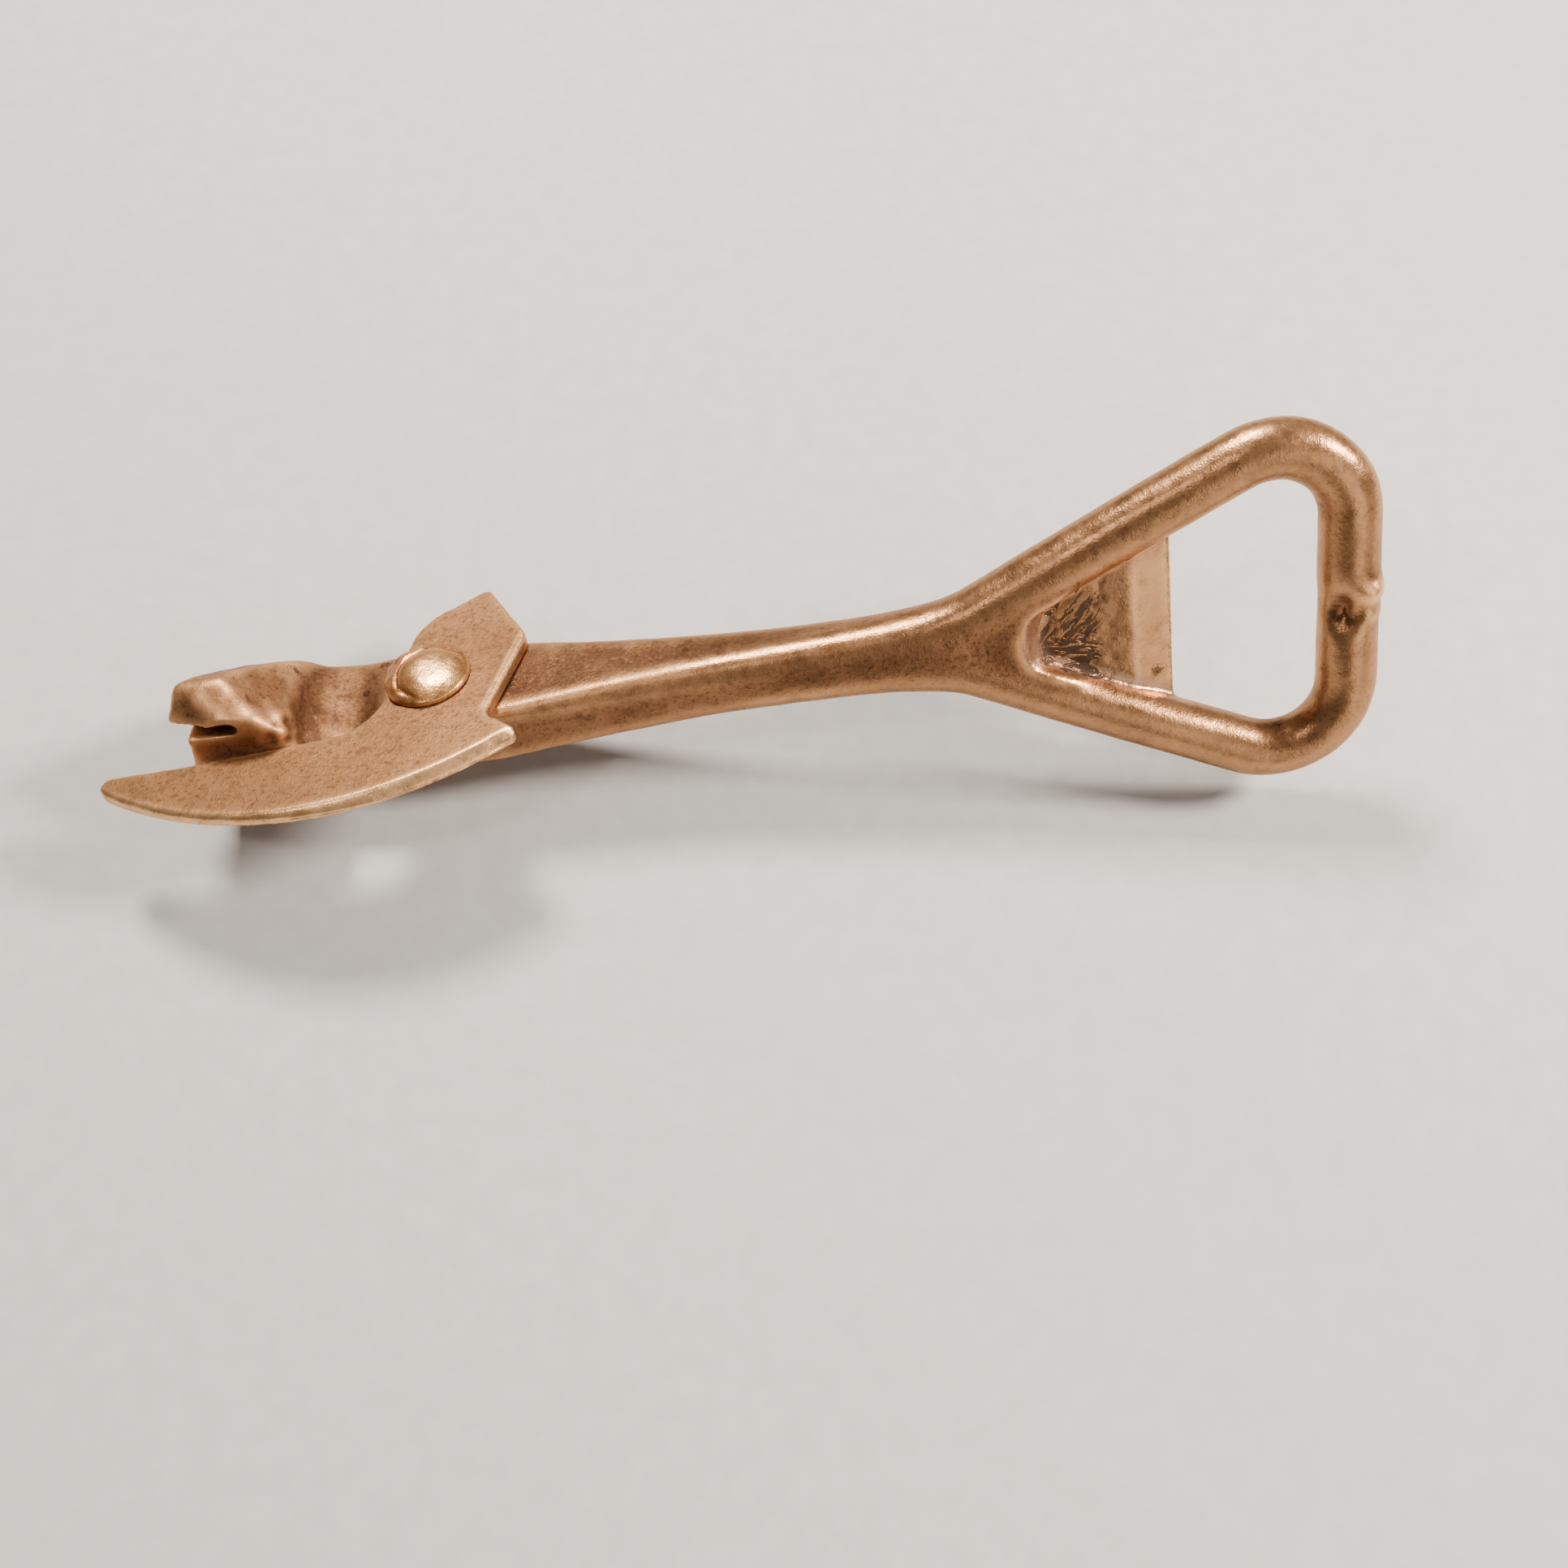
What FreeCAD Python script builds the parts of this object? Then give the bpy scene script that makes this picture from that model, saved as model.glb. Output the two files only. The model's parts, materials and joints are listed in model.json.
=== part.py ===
"""Hand opener for crown caps and tins: a forged loop handle with a riveted cutting blade.

Three pieces: the forged handle, the stamped can blade and the domed rivet that joins them.
Nothing on it moves. Millimetres, +Z up, lying as it does on a table, with its long axis along X.

The pieces are drawn in a handle frame and laid down at the end. In the handle frame X runs
along the handle from the blade's tip (negative) through the rivet (0) to the loop's end bar,
and the loop lies in the XY plane. The head is turned about X: U lies across it, V points out
of the face that carries the blade.
"""

import FreeCAD, Part
import math
import os

V = FreeCAD.Vector
X_AXIS = V(1, 0, 0)
Y_AXIS = V(0, 1, 0)
Z_AXIS = V(0, 0, 1)

# How the head is set to the loop, and how the opener lies
HEAD_TURN = -73.0       # head frame about X, from the loop's plane
LIE_ROLL = 55.0         # loop's plane to the table, far leg up
LIE_RISE = 8.0          # long axis to the table, loop end up

# Loop: a triangle of round rod
ROD_RADIUS = 3.5
BAR_X = 108.9           # centreline of the end bar
APEX_X = 57.9           # where the two legs' centrelines meet
LEG_ANGLE = 25.4        # each leg to the long axis
CORNER_RADIUS = 8.7     # centreline, at the two outer corners

# Crown-cap web between the legs
LIP_X = 88.8            # free edge that goes under the cap's skirt
LIP_BAND = 4.7          # width of the band along the lip
LIP_THICK = 1.6
WEB_START = 5.0         # the web begins this far past the legs' meeting point
WEB_INSET = 0.7         # the web's sides end this far inside the legs' centrelines
WEB_BACK = -2.7
WEB_FRONT = 3.0         # solid part beside the shank
POCKET_FLOOR = 0.2
POCKET_X = 70.6         # rounded end of the pocket, at the web's front
POCKET_BOW = 1.2        # how far the rounded end bows out
POCKET_RAMP = 2.6       # the end slopes down over this length
POCKET_WALL = 3.1       # from a leg's centreline to the pocket's wall
POCKET_DRAFT = 0.3      # the walls close in by this much at the floor
SHOULDER_X = 75.0       # from here the web's shoulders sink to the lip band between the legs

# Cutting solids
OPEN_END = 2.0          # they run on this far past the metal they cut
OVERLAP = 0.01          # keeps two of them from only touching

# Head bar and shank
BAR_WIDTH = 13.4        # across the head, along U
BAR_DEPTH = 8.4         # along V
BAR_ROUND = 1.3
SEAT_END_X = 7.0        # from here the bar narrows towards the shank
HEAD_REACH = 40.0       # half the reach of the solids that shape the head
# The shank's sections after the head bar: X, angle, width along U, depth along V, corner radius
SHANK_SECTIONS = (
    (16.0, -73.0, 11.4, 8.3, 1.7),
    (27.0, -76.0, 9.4, 8.2, 2.2),
    (40.0, -83.0, 8.4, 8.2, 2.7),
    (51.0, -90.0, 8.0, 9.0, 3.0),
    (58.0, -90.0, 7.5, 10.4, 3.2),
    (64.0, -90.0, 6.9, 13.0, 3.2),
)

# Blade plate
PLATE_THICK = 1.8

# Nose with the slot that hooks a tin's rim
NOSE_TOP = 14.0         # height of the crest along V
NOSE_NEAR = -10.0       # wall beside the blade's back edge, along U
NOSE_CREST = -4.6       # far end of the flat crest, along U
NOSE_SHOULDER = (1.5, 9.5)      # bulge of the far side: U, V
NOSE_KEEL = 2.0         # the near wall ends at this height
NOSE_FOOT = 4.6         # height where the far side meets the bar's far face
NOSE_LEFT_X = -30.0     # the upper jaw's end at the slot
NOSE_LEAN = 0.42        # how the end leans towards the loop with height
JAW_LEFT_X = -29.0      # the lower jaw's end, at the seat
JAW_LEAN = 0.3
NOSE_RIGHT_X = -22.4    # right end of the crest
NOSE_KNEE = (-16.2, 8.4)    # where the slope from the crest turns down to the bar: X, V
NOSE_RIGHT_FOOT_X = -15.6
NOSE_SINK = 1.0         # the right wall runs this far below the seat
SLOT_LOW = 8.9
SLOT_WIDTH = 1.4
SLOT_END_X = -21.4
SLOT_DEPTH = 4.6
FACET_MARKS = ((-26.0, -6.6, 13.7), (-22.6, -10.0, 11.3), (-29.3, -9.2, 9.5))
SLOPE_MARKS = ((-26.0, -6.6, 13.7), (-22.6, -10.0, 11.3), (-20.0, -10.0, 11.0))
SHOULDER_MARKS = ((-29.2, -6.2, 13.9), (-25.0, 0.0, 11.2), (-27.0, 4.6, 4.2))

# Scoop in the head bar beside the nose; its axis climbs away from the blade
SCOOP_X = -10.2
SCOOP_RADIUS = 5.6
SCOOP_FLOOR = 3.3       # on the bar's middle line
SCOOP_CLIMB = 7.0       # degrees

# Rivet
RIVET_X = -0.45
RIVET_U = -0.75
RIVET_SHANK = 2.6       # radius
RIVET_HEAD = 5.3        # radius
RIVET_RIM = 0.7         # height of the head's side
RIVET_DOME = 1.8
TAIL_RADIUS = 4.3
TAIL_DOME = 1.3

SEAT = BAR_DEPTH / 2    # the head bar's face that carries the blade, along V
HEAD_FRAME = FreeCAD.Rotation(X_AXIS, HEAD_TURN)


def place_head(shape):
    """Turn a shape drawn with U as Y and V as Z into the handle frame."""
    placed = shape.copy()
    placed.Placement = FreeCAD.Placement(V(0, 0, 0), HEAD_FRAME).multiply(placed.Placement)
    return placed


def capsule(start, end, radius):
    """A round bar from start to end."""
    run = end.sub(start)
    return Part.makeCylinder(radius, run.Length, start, run)


def prism(points, low, high):
    """A straight-sided solid: an outline in XY, from low to high along Z."""
    corners = [V(x, y, low) for x, y in points]
    wire = Part.makePolygon(corners + [corners[0]])
    return Part.Face(wire).extrude(V(0, 0, high - low))


def section(x, angle, width, depth, radius):
    """A rounded rectangle across the handle: width along U and depth along V at that angle."""
    turn = FreeCAD.Rotation(X_AXIS, angle)
    a = width / 2 - radius
    b = depth / 2 - radius
    edges = []
    corners = [(a, b, 0), (-a, b, 90), (-a, -b, 180), (a, -b, 270)]
    for index, (cy, cz, first) in enumerate(corners):
        marks = []
        for step in (0, 45, 90):
            t = math.radians(first + step)
            marks.append(V(x, cy + radius * math.cos(t), cz + radius * math.sin(t)))
        marks = [turn.multVec(mark) for mark in marks]
        edges.append(Part.Arc(*marks).toShape())
        ny, nz, _ = corners[(index + 1) % 4]
        t = math.radians(first + 90)
        follow = turn.multVec(V(x, ny + radius * math.cos(t), nz + radius * math.sin(t)))
        edges.append(Part.makeLine(marks[2], follow))
    return Part.Wire(edges)


def loop_frame():
    """The triangle of rod: two legs, two rounded corners and the end bar."""
    lean = math.radians(LEG_ANGLE)
    centre_x = BAR_X - CORNER_RADIUS
    reach = (centre_x - APEX_X) * math.sin(lean) - CORNER_RADIUS
    centre_y = reach / math.cos(lean)
    solids = []
    for side in (1, -1):
        centre = V(centre_x, side * centre_y, 0)
        out = V(-math.sin(lean), side * math.cos(lean), 0).multiply(CORNER_RADIUS)
        solids.append(capsule(V(APEX_X, 0, 0), centre.add(out), ROD_RADIUS))
        first = 0 if side == 1 else -(90 + LEG_ANGLE)
        corner = Part.makeTorus(
            CORNER_RADIUS, ROD_RADIUS, V(0, 0, 0), Z_AXIS, -180, 180, 90 + LEG_ANGLE
        )
        corner.rotate(V(0, 0, 0), Z_AXIS, first)
        corner.translate(centre)
        solids.append(corner)
    solids.append(capsule(V(BAR_X, -centre_y, 0), V(BAR_X, centre_y, 0), ROD_RADIUS))
    return solids


def leg_line(x, inset):
    """Distance from the long axis to a line beside a leg's centreline, at x."""
    lean = math.radians(LEG_ANGLE)
    return (x - APEX_X) * math.tan(lean) - inset / math.cos(lean)


def web():
    """The web between the legs: solid beside the shank, thin under the pocket, a lip at its edge."""
    start = APEX_X + WEB_START
    narrow = leg_line(start, WEB_INSET)
    wide = leg_line(LIP_X, WEB_INSET)
    outline = [(start, -narrow), (LIP_X, -wide), (LIP_X, wide), (start, narrow)]
    full = prism(outline, WEB_BACK, WEB_FRONT)
    return full.cut(pocket()).cut(lip_bevel())


def pocket_outline(end_x, inset, z):
    """The pocket's outline at one height: a rounded end and two walls along the legs."""
    corner_x = end_x + POCKET_BOW
    near = leg_line(corner_x, inset)
    far_x = LIP_X + OPEN_END
    far = leg_line(far_x, inset)
    end = Part.Arc(V(corner_x, near, z), V(end_x, 0, z), V(corner_x, -near, z))
    edges = [
        end.toShape(),
        Part.makeLine(V(corner_x, -near, z), V(far_x, -far, z)),
        Part.makeLine(V(far_x, -far, z), V(far_x, far, z)),
        Part.makeLine(V(far_x, far, z), V(corner_x, near, z)),
    ]
    return Part.Wire(edges)


def pocket():
    """The hollow in the web's front, ramped at its rounded end and open at the lip."""
    low = pocket_outline(POCKET_X + POCKET_RAMP, POCKET_WALL + POCKET_DRAFT, POCKET_FLOOR)
    high = pocket_outline(POCKET_X, POCKET_WALL, WEB_FRONT)
    top = Part.Face(high).extrude(V(0, 0, OPEN_END))
    return Part.makeLoft([low, high], True, True).fuse(top)


def lip_bevel():
    """The wedge taken off the front along the lip and off the shoulders before it."""
    drop = WEB_BACK + LIP_THICK
    above = WEB_FRONT + OPEN_END
    corners = [
        (SHOULDER_X, WEB_FRONT), (LIP_X - LIP_BAND, POCKET_FLOOR), (LIP_X, drop),
        (LIP_X + OPEN_END, drop), (LIP_X + OPEN_END, above), (SHOULDER_X, above),
    ]
    half = leg_line(LIP_X, 0) + OPEN_END
    points = [V(x, -half, z) for x, z in corners]
    wedge = Part.Face(Part.makePolygon(points + [points[0]]))
    return wedge.extrude(V(0, 2 * half, 0))


def shank():
    """The bar from the head to the loop: a flat section that turns square, then spreads."""
    seat_end = section(SEAT_END_X, HEAD_TURN, BAR_WIDTH, BAR_DEPTH, BAR_ROUND)
    head_bar = Part.Face(seat_end).extrude(V(NOSE_RIGHT_FOOT_X - OPEN_END - SEAT_END_X, 0, 0))
    sections = [seat_end] + [section(*marks) for marks in SHANK_SECTIONS]
    return [head_bar, Part.makeLoft(sections, True, False)]


def across_head(points):
    """A straight-sided solid right across the head: its outline is given as X and V."""
    corners = [V(x, -HEAD_REACH, v) for x, v in points]
    face = Part.Face(Part.makePolygon(corners + [corners[0]]))
    return face.extrude(V(0, 2 * HEAD_REACH, 0))


def outside(marks, inner):
    """Everything beyond the plane through three marks, on the side away from the inner point."""
    a, b, c = (V(*mark) for mark in marks)
    normal = b.sub(a).cross(c.sub(a)).normalize()
    if normal.dot(V(*inner).sub(a)) > 0:
        normal = normal.multiply(-1)
    plane = Part.makePlane(2 * HEAD_REACH, 2 * HEAD_REACH, V(-HEAD_REACH, -HEAD_REACH, 0))
    turn = FreeCAD.Rotation(Z_AXIS, normal)
    plane.Placement = FreeCAD.Placement(a, turn)
    return plane.extrude(normal.multiply(HEAD_REACH))


def nose_block():
    """The nose before it is shaped: its outline across the head, run along the handle."""
    half = BAR_WIDTH / 2
    low = BAR_ROUND - SEAT
    bulge = Part.Arc(V(0, NOSE_CREST, NOSE_TOP), V(0, *NOSE_SHOULDER), V(0, half, NOSE_FOOT))
    outline = [
        (half, NOSE_FOOT), (half, low), (half - BAR_ROUND, -SEAT), (BAR_ROUND - half, -SEAT),
        (-half, low), (NOSE_NEAR, NOSE_KEEL), (NOSE_NEAR, NOSE_TOP), (NOSE_CREST, NOSE_TOP),
    ]
    sides = Part.makePolygon([V(0, u, v) for u, v in outline])
    face = Part.Face(Part.Wire([bulge.toShape()] + sides.Edges))
    face.translate(V(NOSE_LEFT_X - OPEN_END, 0, 0))
    return face.extrude(V(NOSE_RIGHT_FOOT_X + 2 * OPEN_END - NOSE_LEFT_X, 0, 0))


def nose():
    """The hooked block at the end of the head: two jaws with the rim slot between them."""
    block = nose_block()
    above = NOSE_TOP + OPEN_END
    lip = SLOT_LOW + SLOT_WIDTH
    far_left = NOSE_LEFT_X - 2 * OPEN_END
    far_right = NOSE_RIGHT_FOOT_X + 2 * OPEN_END
    upper_end = [
        (far_left, lip), (NOSE_LEFT_X, lip), (NOSE_LEFT_X + NOSE_LEAN * (above - lip), above),
        (far_left, above),
    ]
    lower_end = [
        (far_left, -above), (JAW_LEFT_X, -above), (JAW_LEFT_X, SEAT),
        (JAW_LEFT_X + JAW_LEAN * (SLOT_LOW - SEAT), SLOT_LOW), (far_left, SLOT_LOW),
    ]
    right_wall = [
        (NOSE_RIGHT_X, above), (NOSE_RIGHT_X, NOSE_TOP), NOSE_KNEE,
        (NOSE_RIGHT_FOOT_X, SEAT - NOSE_SINK), (far_right, SEAT - NOSE_SINK), (far_right, above),
    ]
    for points in (upper_end, lower_end, right_wall):
        block = block.cut(across_head(points))
    slot = Part.makeBox(SLOT_END_X - far_left, SLOT_DEPTH + OPEN_END, SLOT_WIDTH)
    slot.translate(V(far_left, NOSE_NEAR - OPEN_END, SLOT_LOW))
    # behind the slot the end face runs on down to the lower jaw
    behind = Part.makeBox(JAW_LEFT_X - far_left, 2 * HEAD_REACH, SLOT_WIDTH + OVERLAP)
    behind.translate(V(far_left, NOSE_NEAR + SLOT_DEPTH, SLOT_LOW))
    inner = (SLOT_END_X, 0, SEAT)
    planes = [outside(marks, inner) for marks in (FACET_MARKS, SLOPE_MARKS, SHOULDER_MARKS)]
    for solid in [slot, behind] + planes:
        block = block.cut(solid)
    return block


def scoop():
    """The hollow across the head bar between the nose and the blade's tab."""
    height = SCOOP_FLOOR + SCOOP_RADIUS
    climb = math.radians(SCOOP_CLIMB)
    run = V(0, math.cos(climb), math.sin(climb))
    start = V(SCOOP_X, 0, height).sub(run * HEAD_REACH)
    return Part.makeCylinder(SCOOP_RADIUS, 2 * HEAD_REACH, start, run)


def forged_handle():
    """Loop, web, shank and head as one forging, bored for the rivet."""
    head_bar, neck = shank()
    body = neck.multiFuse([head_bar, web(), place_head(nose())] + loop_frame())
    body = body.cut(place_head(scoop()))
    below = V(RIVET_X, RIVET_U, -SEAT - OPEN_END)
    bore = Part.makeCylinder(RIVET_SHANK, BAR_DEPTH + 2 * OPEN_END, below, Z_AXIS)
    body = body.cut(place_head(bore))
    return body.removeSplitter()


def can_blade():
    """The stamped plate: a crescent with a pointed tip, and the tab that the rivet holds."""
    low = SEAT
    marks = {
        "tip": (-39.0, -13.3), "tip_back": (-37.6, -11.5), "back_mid": (-21.8, -10.4),
        "root": (-9.4, -8.8), "root_mid": (-6.6, -6.0), "side_low": (-5.2, -1.6),
        "side_high": (-3.4, 6.8), "shoulder_mid": (-1.6, 9.9), "shoulder": (1.0, 11.8),
        "top": (4.4, 14.0), "top_mid": (5.3, 14.2), "top_right": (5.9, 13.6),
        "corner": (10.3, 6.4), "corner_mid": (10.9, 5.2), "corner_low": (10.8, 3.8),
        "notch": (7.6, -7.4), "notch_mid": (7.9, -8.6), "notch_low": (8.9, -9.3),
        "tail": (10.6, -10.7), "tail_mid": (11.2, -11.8), "tail_low": (10.4, -12.5),
        "edge_mid": (-16.5, -20.7), "edge_end": (-38.3, -14.2),
    }
    at = {name: V(x, u, low) for name, (x, u) in marks.items()}
    edges = [
        Part.Arc(at["edge_end"], at["tip"], at["tip_back"]).toShape(),
        Part.Arc(at["tip_back"], at["back_mid"], at["root"]).toShape(),
        Part.Arc(at["root"], at["root_mid"], at["side_low"]).toShape(),
        Part.makeLine(at["side_low"], at["side_high"]),
        Part.Arc(at["side_high"], at["shoulder_mid"], at["shoulder"]).toShape(),
        Part.makeLine(at["shoulder"], at["top"]),
        Part.Arc(at["top"], at["top_mid"], at["top_right"]).toShape(),
        Part.makeLine(at["top_right"], at["corner"]),
        Part.Arc(at["corner"], at["corner_mid"], at["corner_low"]).toShape(),
        Part.makeLine(at["corner_low"], at["notch"]),
        Part.Arc(at["notch"], at["notch_mid"], at["notch_low"]).toShape(),
        Part.makeLine(at["notch_low"], at["tail"]),
        Part.Arc(at["tail"], at["tail_mid"], at["tail_low"]).toShape(),
        Part.Arc(at["tail_low"], at["edge_mid"], at["edge_end"]).toShape(),
    ]
    plate = Part.Face(Part.Wire(edges)).extrude(V(0, 0, PLATE_THICK))
    below = V(RIVET_X, RIVET_U, low - OPEN_END)
    hole = Part.makeCylinder(RIVET_SHANK, PLATE_THICK + 2 * OPEN_END, below, Z_AXIS)
    return place_head(plate.cut(hole))


def dome(radius, height, base, up):
    """A spherical cap that stands on the plane V = base, upwards or downwards."""
    sphere_radius = (radius ** 2 + height ** 2) / (2 * height)
    centre = V(RIVET_X, RIVET_U, base + up * (height - sphere_radius))
    ball = Part.makeSphere(sphere_radius, centre)
    low = base if up > 0 else base - height - OPEN_END
    slab = Part.makeCylinder(radius + OPEN_END, height + OPEN_END, V(RIVET_X, RIVET_U, low), Z_AXIS)
    return ball.common(slab)


def blade_rivet():
    """The rivet: domed head on the blade, shank through blade and bar, peened tail below."""
    top = SEAT + PLATE_THICK
    pin = Part.makeCylinder(RIVET_SHANK, top + SEAT, V(RIVET_X, RIVET_U, -SEAT), Z_AXIS)
    rim = Part.makeCylinder(RIVET_HEAD, RIVET_RIM, V(RIVET_X, RIVET_U, top), Z_AXIS)
    head = dome(RIVET_HEAD, RIVET_DOME, top + RIVET_RIM, 1)
    tail = dome(TAIL_RADIUS, TAIL_DOME, -SEAT, -1)
    return place_head(pin.multiFuse([rim, head, tail]).removeSplitter())


def lay_down(shapes):
    """Turn every piece from the handle frame to the way the opener lies, on Z = 0, centred."""
    roll = FreeCAD.Rotation(X_AXIS, LIE_ROLL)
    rise = FreeCAD.Rotation(Y_AXIS, -LIE_RISE)
    turn = FreeCAD.Placement(V(0, 0, 0), rise.multiply(roll))
    laid = {}
    for name, shape in shapes.items():
        laid[name] = shape.copy()
        laid[name].Placement = turn.multiply(laid[name].Placement)
    box = FreeCAD.BoundBox()
    for shape in laid.values():
        box.add(shape.optimalBoundingBox())
    shift = V(-(box.XMin + box.XMax) / 2, -(box.YMin + box.YMax) / 2, -box.ZMin)
    for shape in laid.values():
        shape.translate(shift)
    return laid


def main():
    pieces = {
        "forged_handle": forged_handle(),
        "can_blade": can_blade(),
        "blade_rivet": blade_rivet(),
    }
    laid = lay_down(pieces)
    os.makedirs("parts", exist_ok=True)
    for name, shape in laid.items():
        print(name, shape.isValid(), len(shape.Solids), round(shape.Volume, 1))
        shape.exportStep("parts/" + name + ".step")


main()
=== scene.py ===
"""Looks of the forged loop opener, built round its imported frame. Metres; the frame's own axes."""

import json
import math

import bmesh
import bpy
import numpy as np
from mathutils import Matrix, Vector

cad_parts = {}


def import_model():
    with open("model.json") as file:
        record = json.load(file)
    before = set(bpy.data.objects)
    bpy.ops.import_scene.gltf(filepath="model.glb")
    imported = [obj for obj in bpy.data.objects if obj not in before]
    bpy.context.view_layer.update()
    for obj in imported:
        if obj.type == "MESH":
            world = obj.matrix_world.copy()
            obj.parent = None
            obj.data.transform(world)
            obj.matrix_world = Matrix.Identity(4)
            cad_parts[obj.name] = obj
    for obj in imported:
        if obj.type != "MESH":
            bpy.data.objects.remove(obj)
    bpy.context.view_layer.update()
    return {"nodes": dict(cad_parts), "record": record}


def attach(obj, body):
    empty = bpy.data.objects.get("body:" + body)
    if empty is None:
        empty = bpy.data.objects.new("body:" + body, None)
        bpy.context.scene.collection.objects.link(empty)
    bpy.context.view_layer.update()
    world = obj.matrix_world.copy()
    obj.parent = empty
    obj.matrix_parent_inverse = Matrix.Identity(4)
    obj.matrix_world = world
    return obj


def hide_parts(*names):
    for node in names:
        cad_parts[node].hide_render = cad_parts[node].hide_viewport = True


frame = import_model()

MM = 0.001

# ---------------------------------------------------------------- places, from the frame


def mount(name):
    """A mount of the record, as a point and a unit axis."""
    for entry in frame["record"]["mounts"]:
        if entry["name"] == name:
            return Vector(entry["pos_m"]), Vector(entry["axis"]).normalized()
    raise ValueError(name)


LOOP_CENTRE, LOOP_NORMAL = mount("hang_loop")
LIP_CENTRE, HANDLE_AXIS = mount("cap_lip")
SLOT_CENTRE, SLOT_AXIS = mount("rim_slot")


def axes_matrix(origin, x_axis, z_axis):
    """Local axes with that origin: X kept, Z made square to it. Local units are millimetres."""
    x_axis = x_axis.normalized()
    z_axis = (z_axis - z_axis.dot(x_axis) * x_axis).normalized()
    y_axis = z_axis.cross(x_axis)
    turn = Matrix((x_axis, y_axis, z_axis)).transposed().to_4x4()
    return Matrix.Translation(origin) @ turn @ Matrix.Scale(MM, 4)


# Loop axes: X along the handle to the end bar, Z out of the loop's front; origin in its window.
LOOP = axes_matrix(LOOP_CENTRE, HANDLE_AXIS, LOOP_NORMAL)
# Head axes: X along the handle, Y across the head away from the blade's edge, Z out of the
# face that carries the blade; origin on the handle's long axis, beside the rivet.
RIVET_TO_WINDOW = 0.1002
HEAD_UP = HANDLE_AXIS.cross(-SLOT_AXIS)
HEAD = axes_matrix(LOOP_CENTRE - HANDLE_AXIS * RIVET_TO_WINDOW, HANDLE_AXIS, HEAD_UP)

# ---------------------------------------------------------------- mesh tools


def to_array(mesh):
    points = np.empty(len(mesh.vertices) * 3)
    mesh.vertices.foreach_get("co", points)
    return points.reshape(-1, 3)


def set_array(mesh, points):
    mesh.vertices.foreach_set("co", points.astype(np.float32).ravel())
    mesh.update()


def local(points, axes):
    """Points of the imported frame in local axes."""
    inverse = np.array(axes.inverted())
    return points @ inverse[:3, :3].T + inverse[:3, 3]


def world(points, axes):
    """Points in local axes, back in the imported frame."""
    forward = np.array(axes)
    return points @ forward[:3, :3].T + forward[:3, 3]


def step(value, low, high):
    """0 below low, 1 above high, smooth between; falls instead where low is above high."""
    t = np.clip((value - low) / (high - low), 0.0, 1.0)
    return t * t * (3 - 2 * t)


def remeshed(node, axes, voxel):
    """A copy of a CAD node's mesh, remade in even small faces along the given axes, in local mm."""
    source = frame["nodes"][node].data
    mesh = source.copy()
    set_array(mesh, local(to_array(mesh), axes))
    thing = bpy.data.objects.new(node + "_work", mesh)
    bpy.context.scene.collection.objects.link(thing)
    modifier = thing.modifiers.new("even", "REMESH")
    modifier.mode = "VOXEL"
    modifier.voxel_size = voxel
    modifier.use_smooth_shade = True
    graph = bpy.context.evaluated_depsgraph_get()
    result = bpy.data.meshes.new_from_object(thing.evaluated_get(graph), depsgraph=graph)
    bpy.data.objects.remove(thing)
    bpy.data.meshes.remove(mesh)
    result.materials.clear()
    return result


def edge_pairs(mesh):
    pairs = np.empty(len(mesh.edges) * 2, dtype=np.int64)
    mesh.edges.foreach_get("vertices", pairs)
    return pairs.reshape(-1, 2)


def neighbour_mean(values, pairs, counts):
    """The mean of each vertex's neighbours."""
    a, b = pairs[:, 0], pairs[:, 1]
    total = np.empty_like(values)
    for axis in range(values.shape[1]):
        total[:, axis] = np.bincount(a, values[b, axis], len(values))
        total[:, axis] += np.bincount(b, values[a, axis], len(values))
    return total / counts[:, None]


def relax(points, pairs, rounds, weight):
    """Rounds of smoothing that keep the volume; weight is per vertex, 0 to 1."""
    counts = np.bincount(pairs.ravel(), minlength=len(points))
    weight = np.asarray(weight, dtype=float).reshape(-1, 1)
    for _ in range(rounds):
        for pull in (0.55, -0.57):
            points = points + pull * weight * (neighbour_mean(points, pairs, counts) - points)
    return points


def soften(points, pairs, rounds, weight):
    """Rounds of plain smoothing, which round edges off."""
    counts = np.bincount(pairs.ravel(), minlength=len(points))
    weight = np.asarray(weight, dtype=float).reshape(-1, 1)
    for _ in range(rounds):
        points = points + 0.5 * weight * (neighbour_mean(points, pairs, counts) - points)
    return points


def normals_of(mesh):
    normals = np.empty(len(mesh.vertices) * 3)
    mesh.vertices.foreach_get("normal", normals)
    return normals.reshape(-1, 3)


class Noise:
    """Smooth random values in space, the same on every run."""

    SIZE = 32

    def __init__(self, seed):
        self.grid = np.random.default_rng(seed).uniform(-1, 1, (self.SIZE,) * 3)

    def __call__(self, points, scale):
        """Values from about -1 to 1; scale is the size of a lump, in the points' units."""
        where = points / scale + 11.3
        cell = np.floor(where).astype(int)
        part = where - cell
        part = part * part * (3 - 2 * part)
        total = np.zeros(len(points))
        for corner in range(8):
            bits = np.array([corner & 1, corner >> 1 & 1, corner >> 2 & 1])
            at = (cell + bits) % self.SIZE
            share = np.prod(np.where(bits == 1, part, 1 - part), axis=1)
            total += share * self.grid[at[:, 0], at[:, 1], at[:, 2]]
        return total


def add_values(mesh, name, values):
    """Stores one number per vertex, for the materials to read."""
    layer = mesh.attributes.new(name, "FLOAT", "POINT")
    layer.data.foreach_set("value", np.asarray(values, dtype=np.float32))


def add_places(mesh, points):
    """Stores each vertex's place in local millimetres, so that a texture can follow the piece."""
    layer = mesh.attributes.new("place", "FLOAT_VECTOR", "POINT")
    layer.data.foreach_set("vector", np.asarray(points, dtype=np.float32).ravel())


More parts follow.
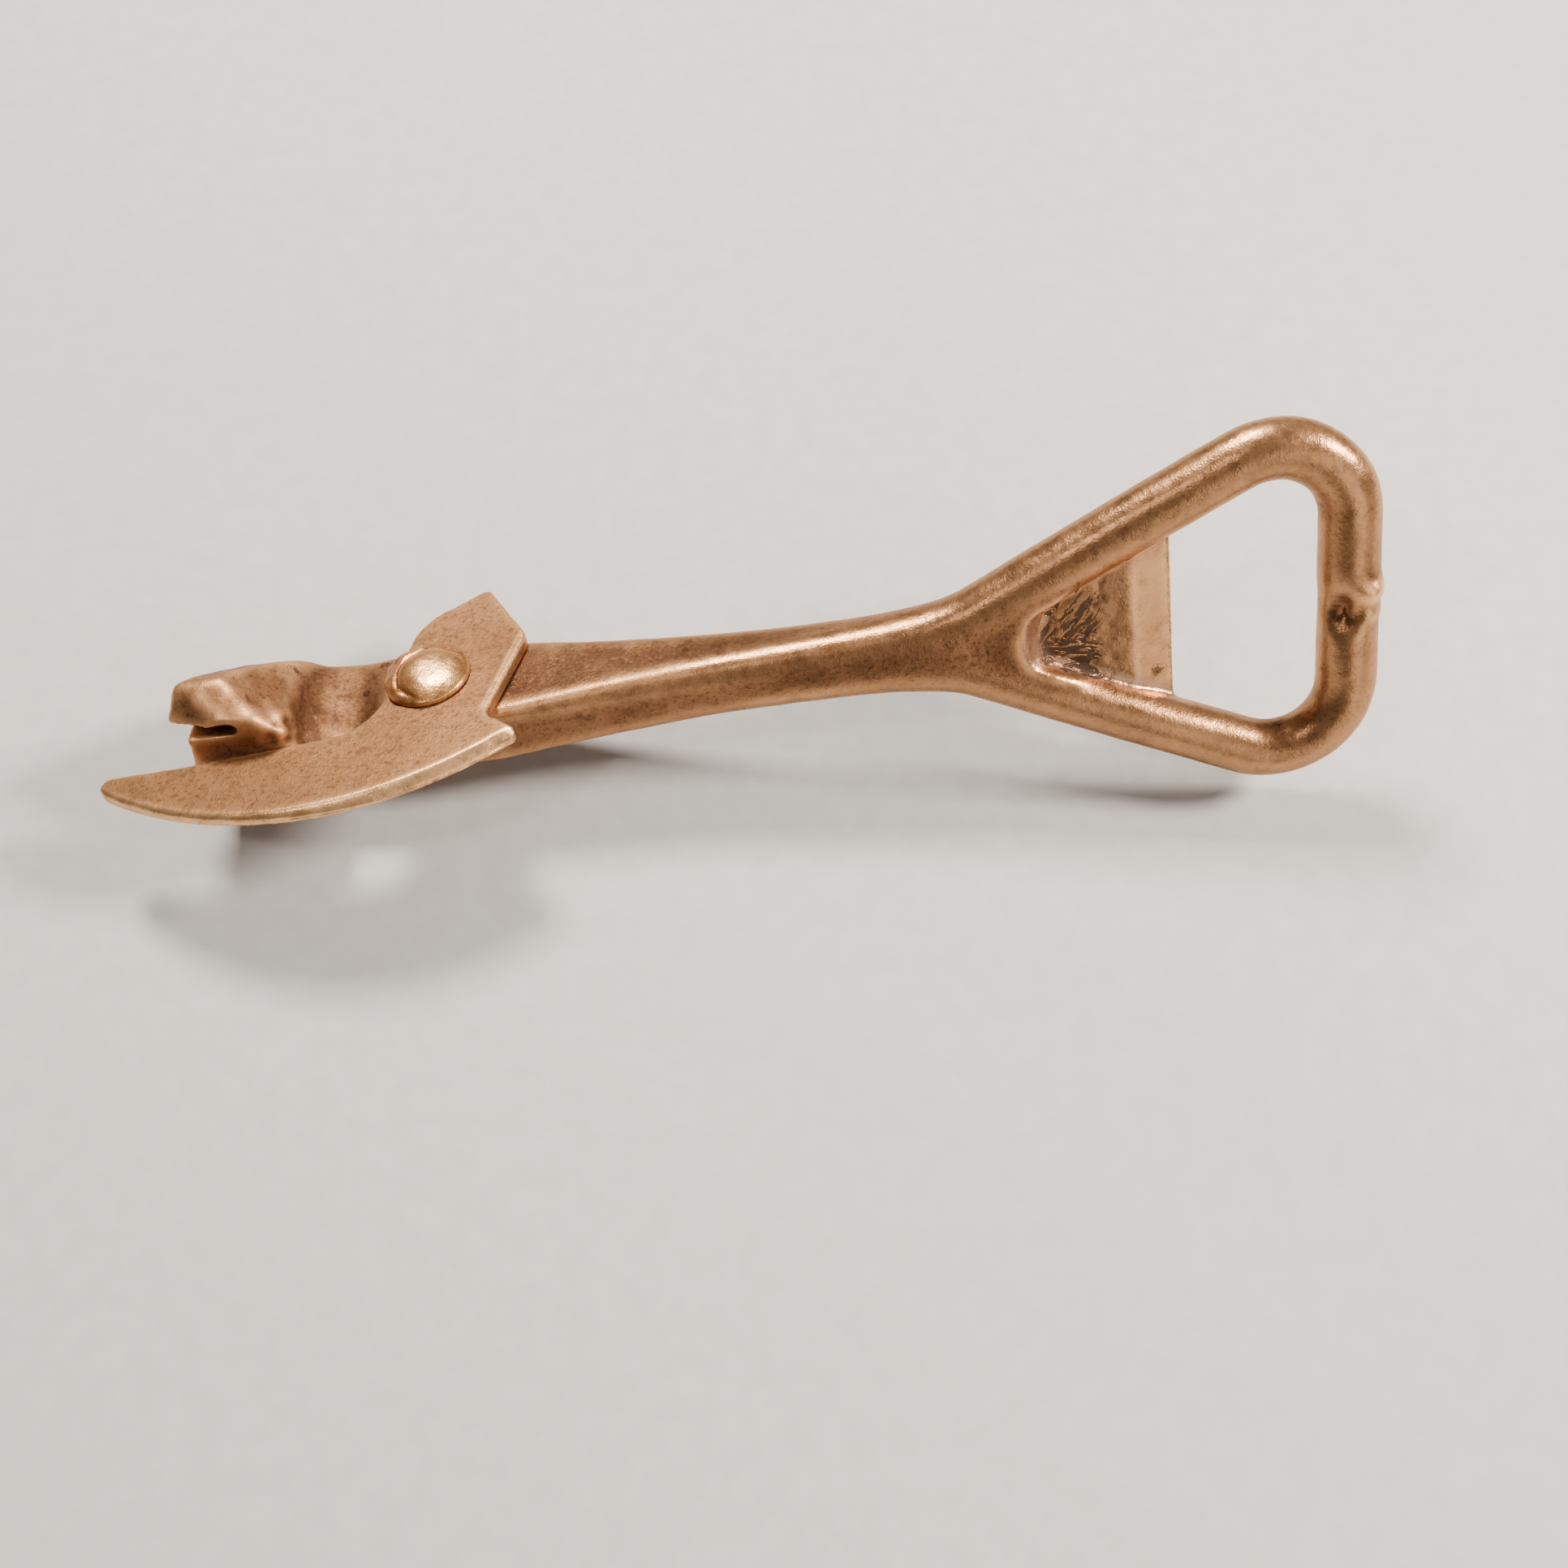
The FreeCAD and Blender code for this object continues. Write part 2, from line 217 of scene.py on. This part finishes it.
def finish_piece(name, mesh, material, node):
    """Makes an object of a final mesh, in place of its CAD node."""
    for polygon in mesh.polygons:
        polygon.use_smooth = True
    mesh.materials.append(material)
    piece = bpy.data.objects.new(name, mesh)
    bpy.context.scene.collection.objects.link(piece)
    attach(piece, "root")
    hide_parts(node)
    return piece


def curvature(points, normals, pairs, rounds):
    """How far each vertex stands out of its surroundings, in the points' units; edges positive."""
    counts = np.bincount(pairs.ravel(), minlength=len(points))
    calm = points
    for _ in range(rounds):
        calm = neighbour_mean(calm, pairs, counts)
    return np.einsum("ij,ij->i", points - calm, normals)


# ---------------------------------------------------------------- materials


SHEEN = (0.95, 0.80, 0.66, 1.0)     # colour of the metal seen at a slant


class Nodes:
    """Short ways to add and join shader nodes."""

    def __init__(self, name):
        self.material = bpy.data.materials.new(name)
        self.material.use_nodes = True
        self.tree = self.material.node_tree
        self.tree.nodes.clear()

    def add(self, kind, inputs=(), **settings):
        node = self.tree.nodes.new(kind)
        for key, value in settings.items():
            setattr(node, key, value)
        for key, value in dict(inputs).items():
            if isinstance(value, bpy.types.NodeSocket):
                self.tree.links.new(value, node.inputs[key])
            else:
                node.inputs[key].default_value = value
        return node

    def value(self, name):
        """A number stored on the mesh."""
        return self.add("ShaderNodeAttribute", attribute_name=name).outputs["Fac"]

    def place(self):
        """The place stored on the mesh, in local millimetres."""
        return self.add("ShaderNodeAttribute", attribute_name="place").outputs["Vector"]

    def noise(self, size, detail=4.0, rough=0.55, vector=None, distortion=0.0):
        """Noise whose lumps are about that many millimetres across."""
        inputs = {
            "Vector": vector or self.place(), "Scale": 0.5 / size, "Detail": detail,
            "Roughness": rough, "Distortion": distortion,
        }
        return self.add("ShaderNodeTexNoise", inputs).outputs["Fac"]

    def streaks(self, degrees, length, width):
        """Places squeezed so that noise on them runs in streaks, turned about Z by the angle."""
        turned = self.add(
            "ShaderNodeVectorRotate",
            {"Vector": self.place(), "Axis": (0.0, 0.0, 1.0), "Angle": math.radians(-degrees)},
            rotation_type="AXIS_ANGLE",
        )
        squeeze = (1 / length, 1 / width, 1 / width)
        inputs = {0: turned.outputs["Vector"], 1: squeeze}
        return self.add("ShaderNodeVectorMath", inputs, operation="MULTIPLY").outputs["Vector"]

    def band(self, value, low, high, out_low=0.0, out_high=1.0):
        """A smooth change from out_low to out_high while the value goes from low to high."""
        inputs = {
            "Value": value, "From Min": low, "From Max": high,
            "To Min": out_low, "To Max": out_high,
        }
        node = self.add("ShaderNodeMapRange", inputs, interpolation_type="SMOOTHSTEP")
        return node.outputs["Result"]

    def math(self, operation, a, b=0.0, clamp=False):
        node = self.add("ShaderNodeMath", {0: a, 1: b}, operation=operation, use_clamp=clamp)
        return node.outputs["Value"]

    def mix(self, factor, a, b):
        """Colour a turning into colour b; the mix node's colour sockets have only numbers."""
        node = self.add("ShaderNodeMix", {0: factor, 6: a, 7: b}, data_type="RGBA")
        return node.outputs[2]

    def bump(self, height, distance, strength=1.0, normal=None):
        inputs = {"Height": height, "Distance": distance, "Strength": strength}
        if normal is not None:
            inputs["Normal"] = normal
        return self.add("ShaderNodeBump", inputs).outputs["Normal"]

    def finish(self, color, roughness, normal, metallic):
        inputs = {
            "Base Color": color, "Roughness": roughness, "Normal": normal, "Metallic": metallic,
            "Specular Tint": SHEEN,
        }
        shader = self.add("ShaderNodeBsdfPrincipled", inputs)
        output = self.add("ShaderNodeOutputMaterial")
        self.tree.links.new(shader.outputs["BSDF"], output.inputs["Surface"])
        return self.material


def rgb(red, green, blue):
    """A colour given as it looks on a screen, 0 to 255, as the linear one that shaders take."""

    def linear(value):
        value = value / 255
        return value / 12.92 if value <= 0.04045 else ((value + 0.055) / 1.055) ** 2.4

    return (linear(red), linear(green), linear(blue), 1.0)


def worn_steel(name, base, pale, dark, bright, rough):
    """Old handled steel: brown tarnish in clouds, pale worn edges, dark rusty hollows, painted
    highlights and shade.

    It reads numbers stored on the mesh: wear (worn edges, painted highlights and a painted
    reflection), rust (scattered pitting and painted shade), flecks (long dark pits), plating (what
    is left of it), shade (painted shade and deeper tarnish) and matte.
    """
    n = Nodes(name)
    clouds = n.noise(7.0, 4.0, 0.6)
    mottle = n.noise(1.1, 4.0, 0.65)
    specks = n.noise(0.26, 3.0, 0.6)
    fine = n.noise(0.10, 2.0, 0.5)
    wear_and_highlight = n.value("wear_and_highlight")

    color = n.mix(n.band(clouds, 0.34, 0.66), base, pale)
    # painted shade and deeper tarnish, from the shade numbers, turn toward the dark colour
    color = n.mix(n.math("MULTIPLY", n.value("shade"), 0.8), color, dark)
    color = n.mix(n.band(mottle, 0.50, 0.70, 0.0, 0.60), color, dark)
    color = n.mix(n.band(specks, 0.52, 0.66, 0.0, 0.70), color, dark)
    color = n.mix(n.band(specks, 0.46, 0.30, 0.0, 0.65), color, pale)
    # worn edges, painted highlights and a painted reflection turn toward the bright colour
    rubbed_and_highlit = n.math("MULTIPLY", wear_and_highlight, n.band(mottle, 0.25, 0.6, 0.5, 1.0), clamp=True)
    color = n.mix(rubbed_and_highlit, color, bright)
    ragged = n.math("ADD", n.value("plating"), n.band(n.noise(0.7, 5.0, 0.7), 0.3, 0.7, -0.5, 0.5))
    skin = n.band(ragged, 0.46, 0.54)
    color = n.mix(n.math("MULTIPLY", skin, 0.75), color, rgb(176, 136, 108))

    pits = n.noise(0.42, 5.0, 0.7, distortion=0.6)
    pitted = n.band(n.math("ADD", pits, n.value("rust_and_shade")), 0.95, 1.15)
    along = n.noise(0.5, 3.0, 0.6, n.streaks(48.0, 2.6, 0.8), 0.9)
    level = n.noise(0.5, 3.0, 0.6, n.streaks(-8.0, 3.2, 0.75), 0.9)
    lower = n.value("lower")
    streak = n.math("ADD", n.math("MULTIPLY", level, lower), n.math("MULTIPLY", along,
                    n.math("SUBTRACT", 1.0, lower)))
    fleck = n.band(n.math("ADD", streak, n.value("flecks")), 1.00, 1.08)
    rusted_and_shaded = n.math("MAXIMUM", pitted, fleck)
    # rusty pits, flecks and painted shade turn dark
    color = n.mix(n.math("MULTIPLY", rusted_and_shaded, 0.92), color, rgb(50, 31, 21))

    roughness = n.band(mottle, 0.3, 0.7, rough - 0.05, rough + 0.08)
    roughness = n.math("SUBTRACT", roughness, n.math("MULTIPLY", rubbed_and_highlit, 0.08))
    roughness = n.math("ADD", roughness, n.math("MULTIPLY", n.value("matte"), 0.22))
    roughness = n.math("ADD", roughness, n.math("MULTIPLY", rusted_and_shaded, 0.35), clamp=True)
    metallic = n.band(rusted_and_shaded, 0.0, 1.0, 0.80, 0.25)

    grain = n.math("ADD", n.math("MULTIPLY", specks, 0.6), n.math("MULTIPLY", fine, 0.4))
    normal = n.bump(grain, 0.00006, 1.0)
    normal = n.bump(mottle, 0.00010, 0.6, normal)
    normal = n.bump(n.math("SUBTRACT", 1.0, rusted_and_shaded), 0.00018, 0.8, normal)
    return n.finish(color, roughness, normal, metallic)


def floor_material():
    n = Nodes("pale_floor")
    place = n.add("ShaderNodeTexCoord").outputs["Object"]
    speck = n.noise(0.5 / 300.0, 3.0, vector=place)
    color = n.mix(n.band(speck, 0.3, 0.7), rgb(194, 192, 190), rgb(200, 198, 196))
    inputs = {"Base Color": color, "Roughness": 0.8}
    shader = n.add("ShaderNodeBsdfPrincipled", inputs)
    output = n.add("ShaderNodeOutputMaterial")
    n.tree.links.new(shader.outputs["BSDF"], output.inputs["Surface"])
    return n.material


# ---------------------------------------------------------------- forged handle

# In these, along, across and front are loop axes, and x, u and v are head axes, all in mm.
HANDLE_VOXEL = 0.34
LEG_SLOPE = math.tan(math.radians(25.4))
LEG_APEX = -42.3            # where the legs' centrelines meet, in loop axes
POCKET_WALL = 3.43          # from a leg's centreline to the pocket's wall, across the handle
POCKET_END = -29.6          # the pocket's rounded end
BAR_HOLLOW = (7.28, -0.8)   # oval hollow knocked into the end bar
HOLLOW_OVAL = 1.25          # its width across the handle to its length along it
BAR_KNOB = (10.9, 1.5)      # metal pushed up beside it
RIDGE_START = np.array((-26.0, -6.6, 13.7))     # ridge of the nose's facet, in head axes
RIDGE_END = np.array((-22.6, -10.0, 11.3))


def gauss(x, y, place, radius):
    """A round spot: 1 at the place, fading to nothing about two radii away."""
    return np.exp(-((x - place[0]) ** 2 + (y - place[1]) ** 2) / radius ** 2)


def bar_hollow(along, across, radius):
    place = (HOLLOW_OVAL * BAR_HOLLOW[0], BAR_HOLLOW[1])
    return gauss(HOLLOW_OVAL * along, across, place, radius)


def distance_to_ridge(points):
    run = RIDGE_END - RIDGE_START
    part = np.clip((points - RIDGE_START) @ run / (run @ run), 0, 1)
    return np.linalg.norm(points - RIDGE_START - part[:, None] * run, axis=1)


def pocket_depth(along, across):
    """How far inside the pocket's outline a point is, seen from the front; negative outside."""
    wall = (along - LEG_APEX) * LEG_SLOPE - POCKET_WALL - np.abs(across)
    return np.minimum(wall, along - POCKET_END - 0.1 * across ** 2)


def smooth_handle(points, pairs, in_loop):
    """Rounds the CAD's edges the way a forging's are: legs and nose much, pocket rim little."""
    along, across, front = in_loop(points).T
    in_pocket = step(pocket_depth(along, across), -1.6, -0.4) * step(front, -2.5, -1.0)
    legs = step(along, -54, -46) * step(along, -25, -33) * (1 - in_pocket)
    x, u, v = points.T
    slot = step(x, -20.6, -21.6) * step(v, 7.6, 8.2) * step(v, 11.6, 10.8) * step(u, -4.6, -5.6)
    nose = step(x, -8, -11) * step(v, 3.2, 4.6) * (1 - slot)
    nose *= 0.25 + 0.75 * step(distance_to_ridge(points), 0.2, 1.2)
    points = relax(points, pairs, 6, 1.0)
    points = soften(points, pairs, 45, legs)
    points = soften(points, pairs, 22, nose)
    valley = step(x, -19.5, -17.0) * step(x, -5.0, -8.0) * step(v, 2.4, 3.4) * step(v, 9.5, 7.5)
    points = soften(points, pairs, 60, valley)
    rim = np.exp(-(pocket_depth(along, across) / 1.1) ** 2) * step(front, 0.5, 1.5)
    rim *= step(along, -10.5, -12.0)
    points = soften(points, pairs, 14, rim)
    return soften(points, pairs, 4, 0.7)


def handle_moves(points, normals, in_loop, turn):
    """The marks of forging and use, as a move of each vertex along its normal, in mm."""
    lumps = Noise(7)
    along, across, front = in_loop(points).T
    x, u, v = points.T
    move = 0.07 * lumps(points, 7.0) + 0.035 * lumps(points + 40, 2.4)
    nose = step(x, -15, -19) * step(v, 3, 5)
    move += nose * 0.14 * lumps(points + 90, 2.0)
    root = gauss(x, v, (-16.4, 7.8), 2.6) * step(u, -5, -7.5)
    move += root * 0.40 * lumps(points + 64, 1.5)
    on_bar = step(along, 4, 6)
    forward = step(normals @ turn.T @ np.array([-0.45, 0, 1.0]), -0.1, 0.7)
    move -= 1.60 * bar_hollow(along, across, 2.2) * on_bar * forward
    move += 0.80 * gauss(along, across, BAR_KNOB, 1.4) * on_bar * step(front, -2, 1)
    move += 0.35 * gauss(along, across, (10.9, -1.4), 1.1) * on_bar * step(front, -2, 1)
    depth = pocket_depth(along, across)
    floor = step(depth, 0.2, 1.2) * step(front, 3.0, 1.4) * step(front, -1.6, -0.8)
    move -= 0.16 * floor * np.clip(lumps(points + 13, 0.9), 0, 1) * step(along, -17, -20)
    move += 0.04 * floor * lumps(points + 31, 1.6)
    return move


def handle_values(mesh, points, normals, pairs, in_loop):
    """What the material needs to know: worn edges and painted highlights, rusty pits and painted
    shade, flecks, plating, and painted shade with tarnish.
    """
    sharp = curvature(points, normals, pairs, 14)
    along, across, front = in_loop(points).T
    x, u, v = points.T
    depth = pocket_depth(along, across)
    inside = step(depth, -0.3, 0.5) * step(front, -1.6, -0.8) * step(along, -9, -10.5)
    floor = inside * step(front, 2.4, 0.9)
    pitted = step(along, -29.0, -26.5) * step(along, -16.5, -21.5)
    lean = step(across, 6.5, -4.0) * 0.10
    add_values(mesh, "flecks", floor * pitted * (0.49 + lean))
    add_values(mesh, "lower", step(across, 0.5, -3.0))

    seat_edge = gauss(x, u, (8.6, -1.0), 3.6) * step(v, 2.5, 3.6) * step(x, 5, 7)
    spots = gauss(x, u, (-16.6, 0.8), 1.5) + gauss(x, u, (-7.6, 4.8), 1.5)
    spots = (spots + gauss(x, u, (-9.2, 0.6), 1.2)) * step(v, 2.0, 3.0)
    corner = gauss(along, across, (1.5, -12.6), 3.2) * step(front, 2.6, 1.0)
    # painted shade: the pocket's upper wall, turned from the light, is darkened
    shaded_wall = inside * step(across, 0.0, 3.0) * step(depth, 1.5, 0.2)
    lip_low = floor * gauss(along, across, (-13.4, -7.0), 1.5)
    rust_and_shade = 0.50 * seat_edge + 0.60 * spots + 0.56 * corner + 0.55 * shaded_wall + 0.55 * lip_low
    # rusty pits and painted shade in the knocked hollow
    dent = bar_hollow(along, across, 1.9) * step(along, 4, 6) * 0.36
    rust_and_shade = np.maximum(rust_and_shade + dent, np.clip(-sharp * 3.0 - 0.3, 0, 0.5))
    add_values(mesh, "rust_and_shade", np.clip(rust_and_shade, 0, 0.75))

    low_wall = inside * step(across, -1.0, -4.0) * step(depth, 2.6, 1.2)
    left_wall = inside * step(along, -26.0, -27.5) * 0.8
    add_values(mesh, "plating", np.clip(low_wall + left_wall, 0, 1) * step(depth, -0.2, 0.3))
    # painted reflection: the pocket's floor is painted lighter
    web = inside * (0.30 + 0.30 * step(along, -16.6, -15.6))
    # painted highlights: the bar's knob, which is also worn, and the nose's ridge are painted
    # bright
    knob = gauss(along, across, BAR_KNOB, 1.5) * step(along, 4, 6)
    ridge = np.exp(-(distance_to_ridge(points) / 0.85) ** 2)
    wear_and_highlight = np.clip(sharp * 4.0, 0, 0.9) + web + 0.9 * knob + 1.0 * ridge
    add_values(mesh, "wear_and_highlight", np.clip(wear_and_highlight, 0, 1))
    scoop = step(x, -19.0, -15.0) * step(x, -4.0, -6.0) * step(v, 2.0, 3.0)
    matte = scoop + 0.8 * step(x, -14.0, -18.0) + 0.5 * step(x, -6, -2) * step(x, 40, 25)
    add_values(mesh, "matte", np.clip(matte, 0, 1))
    # painted shade: the shank's top facet, turned from the light, and the scoop's hollow are
    # darkened; the seat edge adds tarnish
    shaded_top_facet = step(normals[:, 2], 0.75, 0.95) * step(x, 5, 8) * step(x, 50, 30)
    add_values(mesh, "shade", np.clip(0.75 * shaded_top_facet + 0.3 * seat_edge + 0.6 * scoop, 0, 1))
    add_places(mesh, in_loop(points))


def forged_handle():
    mesh = remeshed("forged_handle", HEAD, HANDLE_VOXEL)
    points = to_array(mesh)
    pairs = edge_pairs(mesh)
    to_loop = np.array(LOOP.inverted() @ HEAD)

    def in_loop(values):
        return values @ to_loop[:3, :3].T + to_loop[:3, 3]

    points = smooth_handle(points, pairs, in_loop)
    set_array(mesh, points)
    normals = normals_of(mesh)
    move = handle_moves(points, normals, in_loop, to_loop[:3, :3])
    points = points + normals * move[:, None]
    set_array(mesh, points)
    handle_values(mesh, points, normals_of(mesh), pairs, in_loop)
    set_array(mesh, world(points, HEAD))
    steel = worn_steel(
        "forged_steel", rgb(116, 77, 50), rgb(142, 98, 66), rgb(72, 45, 29),
        rgb(232, 174, 122), 0.31,
    )
    return finish_piece("forged_handle_skin", mesh, steel, "forged_handle")


# ---------------------------------------------------------------- blade

BLADE_VOXEL = 0.22
BLADE_TOP = 6.0
CUT_START = (10.4, -12.5)       # three marks along the cutting edge, in head axes
CUT_MIDDLE = (-16.5, -20.7)
CUT_END = (-38.3, -14.2)
TAB_CORNER = (10.8, 4.4)        # the tab's straight side beside the shank
TAB_NOTCH = (7.6, -7.4)


def circle_through(a, b, c):
    """Centre and radius of the circle through three points."""
    a, b, c = (np.array(point) for point in (a, b, c))
    matrix = 2 * np.array([b - a, c - a])
    centre = np.linalg.solve(matrix, np.array([b @ b - a @ a, c @ c - a @ a]))
    return centre, float(np.linalg.norm(a - centre))


def can_blade():
    mesh = remeshed("can_blade", HEAD, BLADE_VOXEL)
    points = to_array(mesh)
    pairs = edge_pairs(mesh)
    points = relax(points, pairs, 4, 1.0)
    points = soften(points, pairs, 2, 0.8)
    x, u, v = points.T
    centre, radius = circle_through(CUT_START, CUT_MIDDLE, CUT_END)
    in_from_edge = radius - np.hypot(x - centre[0], u - centre[1])
    cutting = step(u, -7.5, -9.5) * step(x, 12, 9)
    top = step(v, BLADE_TOP - 1.2, BLADE_TOP - 0.4)
    width = 0.45 + 0.60 * step(x, -24, 6)
    bevel = np.clip(1 - in_from_edge / width, 0, 1) * cutting * top
    run = np.array(TAB_NOTCH) - np.array(TAB_CORNER)
    run /= np.linalg.norm(run)
    side = (x - TAB_CORNER[0]) * run[1] - (u - TAB_CORNER[1]) * run[0]
    tab = step(u, -8.2, -7.0) * step(u, 6.0, 4.5) * step(x, 3, 5) * top
    chamfer = np.clip(1 - np.abs(side) / 0.8, 0, 1) * tab
    points = points.copy()
    points[:, 2] -= bevel * width * 1.1 + 0.05 * chamfer
    points = soften(points, pairs, 2, 0.8)

    set_array(mesh, points)
    normals = normals_of(mesh)
    lumps = Noise(21)
    move = 0.04 * lumps(points, 9.0) + 0.015 * lumps(points + 50, 2.2)
    rim = 1 - np.abs(normals[:, 2])
    move += rim * 0.05 * lumps(points + 77, 1.6)
    points = points + normals * move[:, None]
    set_array(mesh, points)
    normals = normals_of(mesh)
    sharp = curvature(points, normals, pairs, 10)
    # the cutting edge's bevel is painted bright, as ground steel and a painted highlight; a pale
    # line is painted along the inside of the tab's chamfer
    edge_side = step(in_from_edge, width + 0.2, width - 0.1) * cutting
    line = np.exp(-((np.abs(side) - 0.8) / 0.16) ** 2) * tab
    wear_and_highlight = np.clip(sharp * 5.0, 0, 1) * 0.7 + 0.85 * edge_side + 0.4 * line
    add_values(mesh, "wear_and_highlight", np.clip(wear_and_highlight, 0, 1))
    add_values(mesh, "rust_and_shade", np.clip(0.18 + np.clip(-sharp * 3, 0, 0.4), 0, 0.6))
    for name in ("flecks", "lower", "plating", "shade"):
        add_values(mesh, name, np.zeros(len(points)))
    add_values(mesh, "matte", 0.45 * top * (1 - edge_side))
    add_places(mesh, points)
    set_array(mesh, world(points, HEAD))
    steel = worn_steel(
        "blade_steel", rgb(142, 100, 65), rgb(160, 115, 77), rgb(104, 69, 43),
        rgb(240, 186, 132), 0.36,
    )
    return finish_piece("can_blade_skin", mesh, steel, "can_blade")


# ---------------------------------------------------------------- rivet

RIVET_VOXEL = 0.16
RIVET_CENTRE = (-0.45, -0.75)       # in head axes
RIM = 5.3
CROWN = (1.1, -0.8)                 # the worn crown, painted bright as a highlight, from the rivet's centre


def blade_rivet():
    """The hammered rivet: a worn crown with a painted highlight inside a beaten rim, and a peened
    tail.
    """
    mesh = remeshed("blade_rivet", HEAD, RIVET_VOXEL)
    points = to_array(mesh)
    pairs = edge_pairs(mesh)
    points = relax(points, pairs, 4, 1.0)
    points = soften(points, pairs, 3, 1.0)
    set_array(mesh, points)
    normals = normals_of(mesh)
    x = points[:, 0] - RIVET_CENTRE[0]
    u = points[:, 1] - RIVET_CENTRE[1]
    v = points[:, 2]
    reach = np.hypot(x, u)
    lumps = Noise(33)
    on_head = step(v, BLADE_TOP + 0.05, BLADE_TOP + 0.5)
    around = np.arctan2(u, x)
    beaten = 0.70 + 0.45 * np.cos(around - math.radians(150))
    from_crown = np.hypot(x - CROWN[0], u - CROWN[1])
    groove = np.exp(-((from_crown - 4.35 - 0.35 * lumps(points + 5, 2.0)) / 0.34) ** 2)
    groove *= step(reach, RIM, RIM - 0.8)
    ring = step(from_crown, 4.3, 4.9)
    move = -0.30 * beaten * groove * on_head
    move += on_head * ring * 0.26 * lumps(points, 1.3) * beaten
    move += on_head * 0.08 * lumps(points + 30, 2.2)
    move -= on_head * 0.22 * np.exp(-(from_crown / 2.2) ** 2)
    tail = step(v, -4.3, -4.8)
    move += tail * 0.22 * lumps(points + 60, 1.8)
    points = points + normals * move[:, None]
    points = soften(points, pairs, 2, 0.6)
    set_array(mesh, points)
    normals = normals_of(mesh)
    sharp = curvature(points, normals, pairs, 12)
    # the crown is painted bright, as worn metal and a painted highlight
    crown = on_head * step(from_crown, 4.0, 2.0)
    add_values(mesh, "wear_and_highlight", np.clip(sharp * 5.0, 0, 0.8) + 0.75 * crown)
    foot = np.exp(-((v - BLADE_TOP) / 0.30) ** 2)
    rust_and_shade = 0.62 * foot + 0.30 * groove * on_head + np.clip(-sharp * 3, 0, 0.4)
    add_values(mesh, "rust_and_shade", np.clip(rust_and_shade, 0, 0.8))
    for name in ("flecks", "lower", "plating"):
        add_values(mesh, name, np.zeros(len(points)))
    add_values(mesh, "shade", 0.25 * ring * on_head)
    add_values(mesh, "matte", 0.3 * ring * on_head)
    add_places(mesh, points)
    set_array(mesh, world(points, HEAD))
    steel = worn_steel(
        "rivet_steel", rgb(158, 102, 58), rgb(180, 122, 74), rgb(108, 66, 37),
        rgb(252, 194, 132), 0.30,
    )
    return finish_piece("blade_rivet_skin", mesh, steel, "blade_rivet")


# ---------------------------------------------------------------- stage, lights, camera

SKY_COLOR = (1.0, 0.96, 0.91, 1.0)
SKY_STRENGTH = 0.08
CAMERA_PLACE = Vector((0.00047, -0.09205, 0.18207))
CAMERA_ELEVATION = 64.95
CAMERA_AZIMUTH = 2.99
CAMERA_ROLL = -0.52
LENS = 36.06                # mm, on a 36 mm sensor
FLOOR_SIZE = 1.6            # half its side
LAMP_DISTANCE = 0.55
LAMP_COLOR = (1.0, 0.93, 0.84)


def stage_floor():
    bm = bmesh.new()
    bmesh.ops.create_grid(bm, x_segments=8, y_segments=8, size=FLOOR_SIZE)
    mesh = bpy.data.meshes.new("floor")
    bm.to_mesh(mesh)
    bm.free()
    mesh.materials.append(floor_material())
    floor = bpy.data.objects.new("floor", mesh)
    bpy.context.scene.collection.objects.link(floor)


def softbox(name, direction, size, power):
    """A round soft lamp that faces the opener from that direction."""
    data = bpy.data.lights.new(name, "AREA")
    data.shape = "DISK"
    data.size = size
    data.energy = power
    data.color = LAMP_COLOR
    lamp = bpy.data.objects.new(name, data)
    aim = Vector(direction).normalized()
    lamp.location = aim * LAMP_DISTANCE
    lamp.rotation_euler = aim.to_track_quat("Z", "Y").to_euler()
    bpy.context.scene.collection.objects.link(lamp)


def studio():
    world_data = bpy.data.worlds.new("studio")
    world_data.use_nodes = True
    sky = world_data.node_tree.nodes["Background"]
    sky.inputs["Color"].default_value = SKY_COLOR
    sky.inputs["Strength"].default_value = SKY_STRENGTH
    bpy.context.scene.world = world_data
    softbox("lamp_far", (-0.17, 0.60, 0.79), 0.12, 5.4)
    softbox("lamp_right", (0.78, 0.04, 0.62), 0.12, 5.8)
    softbox("lamp_near", (0.50, -0.76, 0.42), 0.44, 0.9)
    softbox("lamp_left", (-0.42, -0.22, 0.88), 0.05, 0.5)


def camera():
    data = bpy.data.cameras.new("camera")
    data.sensor_width = 36.0
    data.lens = LENS
    data.clip_start = 0.01
    thing = bpy.data.objects.new("camera", data)
    turn = Matrix.Rotation(math.radians(-CAMERA_AZIMUTH), 4, "Z")
    lift = Matrix.Rotation(math.radians(90 - CAMERA_ELEVATION), 4, "X")
    roll = Matrix.Rotation(math.radians(CAMERA_ROLL), 4, "Z")
    thing.matrix_world = Matrix.Translation(CAMERA_PLACE) @ turn @ lift @ roll
    bpy.context.scene.collection.objects.link(thing)
    bpy.context.scene.camera = thing


# ---------------------------------------------------------------- make everything

camera()
stage_floor()
studio()
forged_handle()
can_blade()
blade_rivet()
